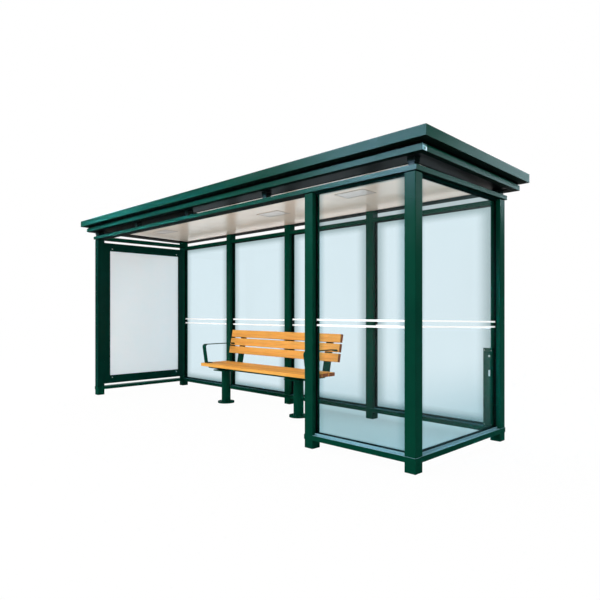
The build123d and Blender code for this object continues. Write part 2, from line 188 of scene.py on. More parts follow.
def oiled_timber(name, board_pitch, seat):
    # Oiled hardwood: planed boards, golden orange, with straight grain lines about 6 mm apart, drawn at
    # 9 mm so that they show, and slow light and dark bands along each board. The end faces are darker,
    # partly the end grain's own tone and partly painted shade.
    material, tree, shader, place = new_finish(name, 1.5, 0.1)
    parts = add(tree, "SeparateXYZ", {"Vector": place})
    board = add(tree, "Math", {0: parts.outputs["Y" if seat else "Z"], 1: 1 / board_pitch},
                operation="MULTIPLY")
    step = add(tree, "Math", {0: board.outputs[0]}, operation="FLOOR")
    chance = add(tree, "TexWhiteNoise", {"W": step.outputs[0]}, noise_dimensions="1D")
    slide = add(tree, "CombineXYZ", {"X": chance.outputs["Value"]})
    shifted = add(tree, "VectorMath", {0: place, 1: slide.outputs[0]}, operation="ADD")
    along = add(tree, "Mapping", {"Vector": shifted.outputs[0], "Scale": (1.6, 34.0, 34.0)})
    figure = add(tree, "TexNoise", {"Vector": along.outputs[0], "Scale": 1.0, "Detail": 5.0,
                                    "Roughness": 0.62, "Distortion": 0.5})
    lines = add(tree, "Mapping", {"Vector": shifted.outputs[0], "Scale": (5.0, 110.0, 110.0)})
    pores = add(tree, "TexNoise", {"Vector": lines.outputs[0], "Scale": 1.0, "Detail": 3.0})
    colour = add(tree, "ValToRGB", {"Fac": figure.outputs["Fac"]},
                 [(0.25, "#EE9C3E"), (0.5, "#FFB450"), (0.75, "#FFC264")])
    tone = add(tree, "MapRange", {"Value": chance.outputs["Value"], "To Min": 0.90, "To Max": 1.06})
    fleck = add(tree, "MapRange", {"Value": pores.outputs["Fac"], "From Min": 0.3, "From Max": 0.5,
                                   "To Min": 0.80, "To Max": 1.0})
    both = add(tree, "Math", {0: tone.outputs["Result"], 1: fleck.outputs["Result"]}, operation="MULTIPLY")
    face = add(tree, "VectorMath", {0: colour.outputs["Color"], "Scale": both.outputs[0]},
               operation="SCALE")
    facing = add(tree, "NewGeometry")
    ends = add(tree, "SeparateXYZ", {"Vector": facing.outputs["Normal"]})
    turned = add(tree, "Math", {0: ends.outputs["X"]}, operation="ABSOLUTE")
    # Painted shade in part: faces turned along X, the board ends, take the darker end colour.
    is_end = add(tree, "MapRange", {"Value": turned.outputs[0], "From Min": 0.6, "From Max": 0.9})
    rings = add(tree, "TexWave", {"Vector": place, "Scale": 26.0, "Distortion": 3.0, "Detail": 2.0},
                wave_type="RINGS", rings_direction="X")
    end_grain_and_painted_shade = add(tree, "ValToRGB", {"Fac": rings.outputs["Fac"]}, [(0.0, "#8A4722"), (1.0, "#B0663A")])
    wood = add(tree, "Mix", {0: is_end.outputs["Result"], 6: face.outputs[0],
                             7: end_grain_and_painted_shade.outputs["Color"]}, data_type="RGBA")
    tree.links.new(wood.outputs[2], shader.inputs["Base Color"])
    rough = add(tree, "MapRange", {"Value": pores.outputs["Fac"], "To Min": 0.62, "To Max": 0.42})
    tree.links.new(rough.outputs["Result"], shader.inputs["Roughness"])
    bump = add(tree, "Bump", {"Height": pores.outputs["Fac"], "Strength": 0.25, "Distance": 0.0008})
    tree.links.new(bump.outputs["Normal"], shader.inputs["Normal"])
    return material


def plain_sheet(name, pale, deep, gloss, grain, bump_height, specular=0.5, metallic=0.0, glow=0.0, ior=1.5):
    # A sheet or moulding whose colour drifts slowly and whose skin has a fine texture of its own size.
    material, tree, shader, place = new_finish(name, ior, specular)
    drift = add(tree, "TexNoise", {"Vector": place, "Scale": 3.0, "Detail": 4.0, "Roughness": 0.6})
    colour = add(tree, "ValToRGB", {"Fac": drift.outputs["Fac"]}, [(0.3, deep), (0.7, pale)])
    skin = add(tree, "TexNoise", {"Vector": place, "Scale": 1 / grain, "Detail": 2.0})
    rough = add(tree, "MapRange", {"Value": skin.outputs["Fac"], "From Min": 0.3, "From Max": 0.7,
                                   "To Min": gloss * 0.85, "To Max": gloss * 1.2})
    bump = add(tree, "Bump", {"Height": skin.outputs["Fac"], "Strength": 0.15, "Distance": bump_height})
    shader.inputs["Metallic"].default_value = metallic
    # A glow is painted light: the sheet shines with its own pale colour.
    if glow:
        shader.inputs["Emission Color"].default_value = linear(pale)
        shader.inputs["Emission Strength"].default_value = glow
    tree.links.new(colour.outputs["Color"], shader.inputs["Base Color"])
    tree.links.new(rough.outputs["Result"], shader.inputs["Roughness"])
    tree.links.new(bump.outputs["Normal"], shader.inputs["Normal"])
    return material


green_coat = powder_coat("satin_powder_coat_green", "#02402F", "#02392B")
# The same green powder coat painted darker, as painted shade, for the poster frame and the front left post.
green_coat_painted_shade = powder_coat("satin_powder_coat_green_painted_shade", "#023229", "#022B23")
header_coat = powder_coat("satin_powder_coat_header", "#02402F", "#02392B", specular=0.11)
# The glazing channels get the green powder coat painted near black, as painted shade.
channel_coat_painted_shade = powder_coat("satin_powder_coat_channel_painted_shade", "#02221F", "#021B19")
# Base-rail sills are painted pale blue-green as a painted reflection of the bright sky in their gloss; the
# rear ones carry a dimmer painted reflection.
sill_painted_reflection = plain_sheet("glazing_bead_painted_reflection", "#8FBDCC", "#84B2C0", 0.3, 0.003, 0.0002)
sill_dim_painted_reflection = plain_sheet("glazing_bead_dim_painted_reflection", "#3A666A", "#345E62", 0.3, 0.003, 0.0002,
                        specular=0.2)
# Near black: the roof outlets' own colour, and painted shade on the recess band and the soffit strips.
black_steel_and_painted_shade = plain_sheet("matt_black_steel_and_painted_shade", "#050606", "#030404", 0.6, 0.006, 0.0004,
                           specular=0.2, ior=1.1)
soffit_dark = plain_sheet("anthracite_laminate", "#0B0D0F", "#080A0C", 0.34, 0.004, 0.0002,
                          specular=0.2, ior=1.14)
ceiling_beige = plain_sheet("high_pressure_laminate_beige", "#FFECDC", "#F8E3D3", 0.17, 0.003, 0.0001)
# The poster panel's faint glow is painted light that lifts its brightness.
opal_panel_painted_glow = plain_sheet("opal_acrylic_panel_painted_glow", "#F0F6FA", "#E8F0F5", 0.2, 0.003, 0.0001, glow=0.2)
# The roof stubs are painted near black as the shade under the roof's overhang.
stub_painted_shade = plain_sheet("roof_stub_painted_shade", "#0A0D0D", "#070909", 0.45, 0.006, 0.0004,
                         specular=0.2)
diffuser_sheet = plain_sheet("opal_polycarbonate_diffuser", "#EDDFD9", "#E3D5CF", 0.17, 0.006, 0.0002)
deck_sheet = plain_sheet("coated_roof_sheet_grey", "#8C9293", "#7D8485", 0.6, 0.005, 0.0004,
                         specular=0.3, ior=1.2)
rubber_black = plain_sheet("epdm_glazing_rubber", "#0A0C0D", "#070909", 0.6, 0.003, 0.0003, ior=1.1)
bare_aluminium = plain_sheet("bare_extruded_aluminium", "#D6D8DC", "#C9CCD1", 0.35, 0.002, 0.0002,
                             metallic=1.0)
screw_steel = plain_sheet("brushed_stainless_steel", "#E6E6E2", "#D6D6D2", 0.3, 0.001, 0.0001,
                          metallic=0.7)
# The white lines of film have a painted glow that keeps them bright.
white_film_with_glow = plain_sheet("white_film_painted_glow", "#FFFFFF", "#FAFBFB", 0.4, 0.002, 0.0001, glow=0.3)
pale_insert = plain_sheet("pale_grey_abs_insert", "#D5D8D9", "#CBCFD0", 0.4, 0.003, 0.0002)
bezel_bronze = plain_sheet("bronze_anodised_bezel", "#BCACA0", "#B0A096", 0.35, 0.002, 0.0001)
seat_wood = oiled_timber("oiled_hardwood_planks", board_pitch=0.1015, seat=True)
back_wood = oiled_timber("oiled_hardwood_slats", board_pitch=0.103, seat=False)

REAR_PANES = ("rear_right_glass", "rear_right_inner_glass", "rear_left_inner_glass", "rear_left_glass")
CLEAR_PANES = ("front_glass", "right_glass")
cad_finishes = {
    "roof_stubs": stub_painted_shade,
    "soffit_border": soffit_dark,
    "recess_band": black_steel_and_painted_shade,
    "ceiling_panel": ceiling_beige,
    "ceiling_lights": diffuser_sheet,
    "poster_frame": green_coat_painted_shade,
    "front_left_post": green_coat_painted_shade,
    "front_header": header_coat,
    "poster_panel": opal_panel_painted_glow,
    "glazing_channels": channel_coat_painted_shade,
    "roof_deck": deck_sheet,
    "bench_seat_planks": seat_wood,
    "bench_back_slats": back_wood,
}
for pane in REAR_PANES:
    cad_finishes[pane] = toughened_glass(pane, "#DAECF3", "#A0B5B9", side_reach=0.17, end_reach=0.10,
                                         ior=1.15, low_shade_strength=0.05)
for pane, ior in zip(CLEAR_PANES, (1.2, 1.14)):
    cad_finishes[pane] = toughened_glass(pane, "#FFFFFF", "#B4C8CC", side_reach=0.11, end_reach=0.02,
                                         ior=ior, low_shade_strength=0.6)
for name, piece in nodes.items():
    piece.data.materials.clear()
    piece.data.materials.append(cad_finishes.get(name, green_coat))


# ================= pieces =================

def block(low, high, bevel=0.0, segments=2):
    """A box between two corners with its edges rounded."""
    low, high = Vector(low), Vector(high)
    bpy.ops.mesh.primitive_cube_add(size=1, location=(low + high) / 2, scale=high - low)
    piece = bpy.context.active_object
    bpy.ops.object.transform_apply(location=True, rotation=True, scale=True)
    if bevel:
        bpy.ops.object.mode_set(mode="EDIT")
        bpy.ops.mesh.select_all(action="SELECT")
        bpy.ops.mesh.bevel(offset=bevel, segments=segments, affect="EDGES")
        bpy.ops.object.mode_set(mode="OBJECT")
    return piece


def joined(parts):
    """Several parts made one piece."""
    bpy.ops.object.select_all(action="DESELECT")
    for part in parts:
        part.select_set(True)
    bpy.context.view_layer.objects.active = parts[0]
    bpy.ops.object.join()
    return bpy.context.active_object


def settle(piece, name, finish):
    """Names and finishes a piece and lets it ride on the shelter."""
    bpy.ops.object.select_all(action="DESELECT")
    piece.select_set(True)
    bpy.context.view_layer.objects.active = piece
    bpy.ops.object.transform_apply(location=True, rotation=True, scale=True)
    piece.name = piece.data.name = name
    piece.data.materials.clear()
    piece.data.materials.append(finish)
    bpy.ops.object.shade_smooth_by_angle(angle=math.radians(35))
    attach(piece, "root")
    piece.select_set(False)


def select_faces(piece, chosen):
    """Selects, in edit mode, the faces that the test picks."""
    mesh = bmesh.from_edit_mesh(piece.data)
    bpy.ops.mesh.select_all(action="DESELECT")
    for face in mesh.faces:
        face.select = chosen(face)
    bmesh.update_edit_mesh(piece.data)


def long_axis(low, high):
    """0 for a pane or rail that runs along X, 1 for one that runs along Y."""
    return 0 if high.x - low.x > high.y - low.y else 1


def stripes(pane, heights):
    """Two white lines of film on the side of the pane that faces the street or the waiting space."""
    low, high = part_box(pane)
    half = STRIPE_WIDTHS.get(pane, REAR_STRIPE_WIDTH) / 2
    if long_axis(low, high) == 0:
        start, end = Vector((low.x, low.y - FILM_THICKNESS, 0)), Vector((high.x, low.y, 0))
    else:
        start, end = Vector((high.x, low.y, 0)), Vector((high.x + FILM_THICKNESS, high.y, 0))
    lines = []
    for z in heights:
        start.z, end.z = z - half, z + half
        lines.append(block(start, end, bevel=0.0002, segments=1))
    film = joined(lines)
    if pane in STRIPE_FALL:
        bpy.ops.object.mode_set(mode="EDIT")
        mesh = bmesh.from_edit_mesh(film.data)
        bpy.ops.mesh.select_all(action="DESELECT")
        for vert in mesh.verts:
            vert.select = vert.co.y > (low.y + high.y) / 2
        mesh.select_flush_mode()
        bmesh.update_edit_mesh(film.data)
        bpy.ops.transform.translate(value=(0, 0, -STRIPE_FALL[pane]))
        bpy.ops.object.mode_set(mode="OBJECT")
    settle(film, pane + "_stripes", white_film_with_glow)


def gasket(pane, side):
    """A rubber channel that grips one upright edge of a pane and fills the gap to its post."""
    low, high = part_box(pane)
    run = long_axis(low, high)
    across = 1 - run
    edge = high[run] if side > 0 else low[run]
    start, end = Vector((0, 0, CHANNEL_LOW)), Vector((0, 0, high.z - GLASS_SEAT))
    start[run], end[run] = sorted((edge + side * GASKET_GAP, edge - side * GASKET_GRIP))
    start[across], end[across] = low[across] - GASKET_LIP, high[across] + GASKET_LIP
    piece = block(start, end)
    bpy.ops.object.mode_set(mode="EDIT")
    select_faces(piece, lambda face: face.normal[run] * side < -0.9)
    bpy.ops.mesh.inset(thickness=GASKET_LIP, depth=0)
    groove = Vector((0, 0, 0))
    groove[run] = side * GASKET_GRIP
    bpy.ops.mesh.extrude_region_move(TRANSFORM_OT_translate={"value": groove})
    bpy.ops.object.mode_set(mode="OBJECT")
    return piece


def glazing_gaskets():
    """The rubber channels of all the panes as one piece."""
    channels = [gasket(pane, side) for pane in REAR_PANES + CLEAR_PANES for side in (-1, 1)]
    settle(joined(channels), "glazing_gaskets", rubber_black)


def ring(low, high, axis, width, bevel):
    """A flat frame between two corners, open along the axis, with mitred members of one width."""
    piece = block(low, high)
    bpy.ops.object.mode_set(mode="EDIT")
    select_faces(piece, lambda face: abs(face.normal[axis]) > 0.9)
    bpy.ops.mesh.inset(thickness=width, depth=0)
    bpy.ops.mesh.delete(type="FACE")
    mesh = bmesh.from_edit_mesh(piece.data)
    for edge in mesh.edges:
        edge.select = edge.is_boundary
    bmesh.update_edit_mesh(piece.data)
    bpy.ops.mesh.bridge_edge_loops()
    bpy.ops.mesh.select_all(action="SELECT")
    bpy.ops.mesh.normals_make_consistent(inside=False)
    bpy.ops.mesh.select_all(action="DESELECT")
    bpy.ops.mesh.select_mode(type="EDGE")
    bpy.ops.mesh.edges_select_sharp(sharpness=math.radians(30))
    bpy.ops.mesh.bevel(offset=bevel, segments=2, affect="EDGES")
    bpy.ops.mesh.select_mode(type="VERT")
    bpy.ops.object.mode_set(mode="OBJECT")
    return piece


def on_roof(piece):
    """Carries a piece from the roof's level drawing to its place, falling to the rear."""
    bpy.ops.object.select_all(action="DESELECT")
    piece.select_set(True)
    bpy.context.view_layer.objects.active = piece
    piece.rotation_euler = (-ROOF_ANGLE, 0, 0)
    piece.location = (0, 0, SOFFIT_HEIGHT)
    bpy.ops.object.transform_apply(location=True, rotation=True, scale=True)
    return piece


def pan_head(radius, height):
    """A screw head on the ground, with a rounded rim and a hexagon socket."""
    bpy.ops.mesh.primitive_cylinder_add(vertices=24, radius=radius, depth=height,
                                        location=(0, 0, height / 2))
    piece = bpy.context.active_object
    bpy.ops.object.mode_set(mode="EDIT")
    select_faces(piece, lambda face: face.normal.z > 0.9)
    bpy.ops.mesh.bevel(offset=height * 0.4, segments=3, affect="EDGES")
    select_faces(piece, lambda face: face.normal.z > 0.98 and len(face.verts) > 8)
    bpy.ops.mesh.inset(thickness=radius * 0.35, depth=0)
    bpy.ops.mesh.extrude_region_move(TRANSFORM_OT_translate={"value": (0, 0, -height * 0.6)})
    bpy.ops.object.mode_set(mode="OBJECT")
    return piece


def copies(master, places, direction):
    """Copies of a piece that stands on the ground, set at the places with its top towards the direction."""
    turn = Vector(direction).to_track_quat("Z", "Y").to_euler()
    made = []
    for place in places:
        twin = master.copy()
        twin.data = master.data.copy()
        bpy.context.scene.collection.objects.link(twin)
        twin.location, twin.rotation_euler = place, turn
        made.append(twin)
    return made


def poster_trim():
    """Rubber and a green bevelled bead round the panel on both faces of the case, and its screws."""
    rubber_width, rubber_set = 0.007, 0.002       # the rubber ends behind the frame's faces
    bead_width, bead_proud = 0.005, 0.0015
    low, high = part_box("poster_frame")
    y0, y1 = low.y + POSTER_STILE, high.y - POSTER_STILE
    z0, z1 = low.z + POSTER_RAIL, high.z - POSTER_RAIL
    head = pan_head(SCREW_RADIUS, SCREW_HEIGHT)
    rubber, beads, screws = [], [], []
    for face, sign in ((high.x, 1), (low.x, -1)):
        inner = face - sign * PANEL_SET
        near, far = sorted((inner, face - sign * rubber_set))
        rubber.append(ring((near, y0, z0), (far, y1, z1), axis=0, width=rubber_width, bevel=0.001))
        near, far = sorted((inner, face + sign * bead_proud))
        beads.append(ring((near, y0 - bead_width, z0 - bead_width), (far, y1 + bead_width, z1 + bead_width),
                          axis=0, width=bead_width, bevel=0.0014))
        spots = [(face, y, z) for y in (y0 + POSTER_SCREW_SET, y1 - POSTER_SCREW_SET)
                 for z in (z0 - POSTER_SCREW_SET, z1 + POSTER_SCREW_SET)]
        screws += copies(head, spots, (sign, 0, 0))
    bpy.data.objects.remove(head)
    settle(joined(rubber), "poster_panel_rubber", rubber_black)
    settle(joined(beads), "poster_frame_beads", green_coat)
    settle(joined(screws), "poster_frame_screws", screw_steel)


def cover_inserts():
    """The pale round insert and slot insert in the pockets of the cable cover."""
    disc_radius, disc_depth, disc_set = 0.0088, 0.0036, 0.0004
    rim_width, middle_sink = 0.0022, 0.0012
    slot_half_width, slot_half_height = 0.0080, 0.026
    slot_set, slot_back = 0.0006, 0.0038          # behind the cover's face
    low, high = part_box("cable_cover")
    x, front_y = COVER_POCKET_X, low.y
    bpy.ops.mesh.primitive_cylinder_add(
        vertices=32, radius=disc_radius, depth=disc_depth, rotation=(math.pi / 2, 0, 0),
        location=(x, front_y + disc_set + disc_depth / 2, high.z - COVER_HOLE_DROP))
    disc = bpy.context.active_object
    bpy.ops.object.transform_apply(location=True, rotation=True, scale=True)
    bpy.ops.object.mode_set(mode="EDIT")
    select_faces(disc, lambda face: face.normal.y < -0.9)
    bpy.ops.mesh.inset(thickness=rim_width, depth=0)
    bpy.ops.mesh.extrude_region_move(TRANSFORM_OT_translate={"value": (0, middle_sink, 0)})
    bpy.ops.object.mode_set(mode="OBJECT")
    slot_z = high.z - COVER_SLOT_DROP
    tongue = block((x - slot_half_width, front_y + slot_set, slot_z - slot_half_height),
                   (x + slot_half_width, front_y + slot_back, slot_z + slot_half_height), bevel=0.0012)
    settle(joined([disc, tongue]), "cable_cover_inserts", pale_insert)


def cover_screws():
    """A small screw in each corner of the cable cover."""
    side_set, end_set = 0.011, 0.020
    low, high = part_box("cable_cover")
    head = pan_head(0.0045, 0.0022)
    spots = [(x, low.y, z) for x in (low.x + side_set, high.x - side_set)
             for z in (low.z + end_set, high.z - end_set)]
    screws = copies(head, spots, (0, -1, 0))
    bpy.data.objects.remove(head)
    settle(joined(screws), "cable_cover_screws", screw_steel)


def trim_end_details():
    """The bare cut ends of the front lower trim, each with a black block of painted shade in the mouth of
    its groove.
    """
    cap_set, cap_sink, cap_proud = 0.0005, 0.001, 0.0022
    groove_half, groove_bottom, groove_top, groove_proud = 0.006, 0.006, 0.021, 0.0028
    rear_y, middle_y = TRIM_FRONT_Y + TRIM_DEPTH, TRIM_FRONT_Y + TRIM_DEPTH / 2
    ends, groove_shade_blocks = [], []
    for sign in (-1, 1):
        x = sign * TRIM_END_X
        near, far = sorted((x - sign * cap_sink, x + sign * cap_proud))
        ends.append(on_roof(block((near, TRIM_FRONT_Y + cap_set, cap_set),
                                  (far, rear_y - cap_set, TRIM_HEIGHT - cap_set), bevel=0.0008)))
        near, far = sorted((x, x + sign * groove_proud))
        groove_shade_blocks.append(on_roof(block((near, middle_y - groove_half, groove_bottom),
                                     (far, middle_y + groove_half, groove_top), bevel=0.0006)))
    settle(joined(ends), "trim_end_caps", bare_aluminium)
    settle(joined(groove_shade_blocks), "trim_end_groove_shade", rubber_black)


def ceiling_details():
    """The black bead round the ceiling and a bezel round each light."""
    bezel_half_x, bezel_half_y = 0.166, 0.096
    bead = on_roof(ring((CEILING_LOW_X, CEILING_LOW_Y, -0.003), (CEILING_HIGH_X, CEILING_HIGH_Y, 0.004),
                        axis=2, width=0.010, bevel=0.001))
    settle(bead, "ceiling_perimeter_bead", rubber_black)
    bezels = []
    for x, y in LIGHT_PLACES:
        bezels.append(on_roof(ring((x - bezel_half_x, y - bezel_half_y, -0.004),
                                   (x + bezel_half_x, y + bezel_half_y, 0.001),
                                   axis=2, width=0.007, bevel=0.001)))
    settle(joined(bezels), "light_bezels", bezel_bronze)


def deck_seams():
    """Standing seams across the roof deck, narrower at their tops."""
    pitch, half_width, half_run, rise, sink, top_share = 0.72, 0.011, 0.745, 0.011, 0.002, 0.45
    seams = []
    for step in range(-3, 4):
        x = step * pitch
        seam = block((x - half_width, -half_run, DECK_TOP - sink),
                     (x + half_width, half_run, DECK_TOP + rise))
        bpy.ops.object.mode_set(mode="EDIT")
        select_faces(seam, lambda face: face.normal.z > 0.9)
        bpy.ops.transform.resize(value=(top_share, 1, 1), center_override=(x, 0, 0))
        bpy.ops.mesh.bevel(offset=0.0015, segments=2, affect="EDGES")
        bpy.ops.object.mode_set(mode="OBJECT")
        seams.append(on_roof(seam))
    settle(joined(seams), "roof_deck_seams", deck_sheet)


def deck_outlets():
    """Two round rain outlets with a sunk middle, at the low rear side of the deck."""
    outlet_y, radius, depth, rim_width, sink = 0.66, 0.055, 0.010, 0.014, 0.007
    outlets = []
    for x in (-1.8, 1.8):
        bpy.ops.mesh.primitive_cylinder_add(vertices=40, radius=radius, depth=depth,
                                            location=(x, outlet_y, DECK_TOP + 0.004))
        outlet = bpy.context.active_object
        bpy.ops.object.transform_apply(location=True, rotation=True, scale=True)
        bpy.ops.object.mode_set(mode="EDIT")
        select_faces(outlet, lambda face: face.normal.z > 0.9)
        bpy.ops.mesh.inset(thickness=rim_width, depth=0)
        bpy.ops.mesh.extrude_region_move(TRANSFORM_OT_translate={"value": (0, 0, -sink)})
        bpy.ops.object.mode_set(mode="OBJECT")
        outlets.append(on_roof(outlet))
    settle(joined(outlets), "roof_outlets", black_steel_and_painted_shade)


def pedestal_fittings():
    """A weld bead at both ends of each pedestal and four capped anchors on its flange."""
    weld_radius, weld_bead, weld_squash = 0.0555, 0.004, 0.8
    weld_heights = (0.021, 0.389)                 # on the flange and under the top plate
    anchor_circle = 0.079
    low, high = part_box("bench_pedestals")
    y = (low.y + high.y) / 2
    centres = (low.x + TOP_PLATE / 2, high.x - TOP_PLATE / 2)
    welds = []
    for x in centres:
        for z in weld_heights:
            bpy.ops.mesh.primitive_torus_add(major_segments=48, minor_segments=10, major_radius=weld_radius,
                                             minor_radius=weld_bead, location=(x, y, z))
            weld = bpy.context.active_object
            bpy.ops.object.transform_apply(location=True, rotation=True, scale=True)
            bpy.ops.object.mode_set(mode="EDIT")
            bpy.ops.mesh.select_all(action="SELECT")
            bpy.ops.transform.resize(value=(1, 1, weld_squash), center_override=(x, y, z))
            bpy.ops.object.mode_set(mode="OBJECT")
            welds.append(weld)
    settle(joined(welds), "pedestal_welds", green_coat)
    cap = pan_head(0.011, 0.010)
    turns = [math.pi / 4 + quarter * math.pi / 2 for quarter in range(4)]
    spots = [(x + anchor_circle * math.cos(turn), y + anchor_circle * math.sin(turn), FLANGE_TOP)
             for x in centres for turn in turns]
    caps = copies(cap, spots, (0, 0, 1))
    bpy.data.objects.remove(cap)
    settle(joined(caps), "pedestal_anchor_caps", green_coat)


def bench_bolts():
    """Bolts through the bracket bars into the slats, and up through their arms into the seat."""
    bolt_side = 0.024                             # from a bar's middle
    slat_rises = (0.045, 0.150, 0.255)            # middles of the slats, along the back
    arm_bolt_ys = (0.240, 0.345)
    low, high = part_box("bench_supports")
    middles = (low.x + BRACKET_WIDTH / 2, high.x - BRACKET_WIDTH / 2)
    behind = SLAT_THICKNESS + BRACKET_THICKNESS
    across, upward = math.cos(BACK_LEAN), math.sin(BACK_LEAN)
    bolt = pan_head(0.008, 0.005)
    spots = []
    for x in middles:
        for rise in slat_rises:
            y = BACK_FRONT_Y + rise * upward + behind * across
            z = BACK_BOTTOM + rise * across - behind * upward
            spots += [(x - bolt_side, y, z), (x + bolt_side, y, z)]
    bolts = copies(bolt, spots, (0, across, -upward))
    spots = [(x + side, y, BEAM_BOTTOM) for x in middles for side in (-bolt_side, bolt_side)
             for y in arm_bolt_ys]
    bolts += copies(bolt, spots, (0, 0, -1))
    bpy.data.objects.remove(bolt)
    settle(joined(bolts), "bench_bolts", screw_steel)


def armrest_screws():
    """Two screws through the foot of each armrest."""
    low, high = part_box("bench_armrests")
    head = pan_head(0.006, 0.003)
    spots = [(x, y, ARM_FOOT_TOP) for x in (low.x + ARM_BAR_WIDTH / 2, high.x - ARM_BAR_WIDTH / 2)
             for y in (0.070, 0.100)]
    heads = copies(head, spots, (0, 0, 1))
    bpy.data.objects.remove(head)
    settle(joined(heads), "armrest_foot_screws", screw_steel)


def rail_sills(rail, rise):
    """Ledges on both sides of a base rail and a bead along each foot of its glazing channel."""
    ledge_height, ledge_set, bead_width, channel_half, end_set = 0.0012, 0.001, 0.0035, 0.015, 0.0935
    low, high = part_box(rail)
    run = long_axis(low, high)
    across = 1 - run
    middle = (low[across] + high[across]) / 2
    half_width = (high[across] - low[across]) / 2
    start, end = Vector((0, 0, high.z)), Vector((0, 0, high.z))
    start[run], end[run] = low[run] + end_set, high[run] - end_set
    parts = []
    for side in (-1, 1):
        channel_face = middle + side * channel_half
        start[across], end[across] = sorted((channel_face, middle + side * (half_width - ledge_set)))
        end.z = high.z + ledge_height
        parts.append(block(start, end, bevel=0.0005))
        start[across], end[across] = sorted((channel_face, channel_face + side * bead_width))
        end.z = high.z + rise
        parts.append(block(start, end, bevel=0.0012))
    return parts


def base_rail_sills():
    """Sills in front and on the right and a thin line round the right posts, painted pale as a reflection,
    and dimmer painted ones behind.
    """
    line_reach, line_width, line_height = 0.0028, 0.0026, 0.0010
    parts = rail_sills("front_base_rail", rise=0.016) + rail_sills("right_base_rail", rise=0.016)
    for post in ("front_right_post", "rear_right_post"):
        low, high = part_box(post)
        parts.append(ring((low.x - line_reach, low.y - line_reach, RAIL_TOP),
                          (high.x + line_reach, high.y + line_reach, RAIL_TOP + line_height),
                          axis=2, width=line_width, bevel=0.0003))
    settle(joined(parts), "base_rail_sills", sill_painted_reflection)
    rear_parts = rail_sills("rear_base_rail", rise=0.009)
    settle(joined(rear_parts), "rear_base_rail_sills", sill_dim_painted_reflection)


def soffit_painted_shade_strips():
    """Black strips of painted shade on the soffit: behind, to the left and along the left half of the
    front.
    """
    end_x, side_y = 2.545, 0.716                  # just inside the lower trim
    front_end_x, front_inner_y = -0.350, -0.500
    bottom, top, gap = -0.0015, 0.001, 0.0005     # the gap keeps the strips apart
    spans = (
        ((-end_x, CEILING_HIGH_Y), (end_x, side_y)),
        ((-end_x, -side_y), (CEILING_LOW_X, CEILING_HIGH_Y - gap)),
        ((CEILING_LOW_X + gap, -side_y), (front_end_x, front_inner_y)),
    )
    strips = [on_roof(block((*low, bottom), (*high, top), bevel=0.0006)) for low, high in spans]
    settle(joined(strips), "soffit_painted_shade_strips", black_steel_and_painted_shade)


for pane, heights in STRIPES.items():
    stripes(pane, heights)
glazing_gaskets()
base_rail_sills()
soffit_painted_shade_strips()
poster_trim()
cover_inserts()
cover_screws()
trim_end_details()
ceiling_details()
deck_seams()
deck_outlets()
pedestal_fittings()
bench_bolts()
armrest_screws()

# ================= camera, light and floor =================

camera = bpy.data.objects.new("camera", bpy.data.cameras.new("camera"))
bpy.context.scene.collection.objects.link(camera)
camera.location = (4.5068, -3.8227, 1.1145)
camera.rotation_euler = (math.radians(90), 0, math.radians(44.949))
camera.data.sensor_width = 36
camera.data.lens = 31.975
camera.data.shift_y = 0.0190
camera.data.clip_end = 200
bpy.context.scene.camera = camera


def softbox(name, place, target, width, height, radiance, colour):
    """A large flat lamp that looks at the target. Mirror-smooth glass doesn't show its outline."""
    lamp = bpy.data.lights.new(name, "AREA")
    lamp.shape = "RECTANGLE"
    lamp.size, lamp.size_y = width, height
    lamp.energy = radiance * math.pi * width * height
    lamp.color = linear(colour)[:3]
    lamp.cycles.use_multiple_importance_sampling = False
    holder = bpy.data.objects.new(name, lamp)
    bpy.context.scene.collection.objects.link(holder)
    holder.location = place
    holder.rotation_euler = (Vector(target) - Vector(place)).to_track_quat("-Z", "Y").to_euler()
    return holder


softbox("softbox_front_left", place=(-4.5, -9.0, 6.5), target=(0, 0, 1.4), width=8.0, height=3.0,
        radiance=2.6, colour="#FFFFFF")
softbox("softbox_above", place=(0, -1.0, 9.0), target=(0, 0, 0), width=9.0, height=7.0,
        radiance=0.5, colour="#FFFFFF")
# Cards that lay a sheen on paint and metal and give no light to matt faces.
sheen_cards = (
    softbox("sheen_card_front_left", place=(-3.2, -10.0, 5.9), target=(1.5, 0, 1.9), width=5.8, height=2.3,
            radiance=46.0, colour="#A8D4F6"),
    softbox("sheen_card_left", place=(-15.0, -10.0, 5.4), target=(-1.0, 0, 2.0), width=16.0, height=2.4,
            radiance=5.4, colour="#4CE0DC"),
    softbox("sheen_card_rear_right", place=(6.8, 12.0, 5.4), target=(2, 0, 2.0), width=6.6, height=2.4,
            radiance=5.6, colour="#C4D8E4"),
)
for card in sheen_cards:
    card.visible_diffuse = False


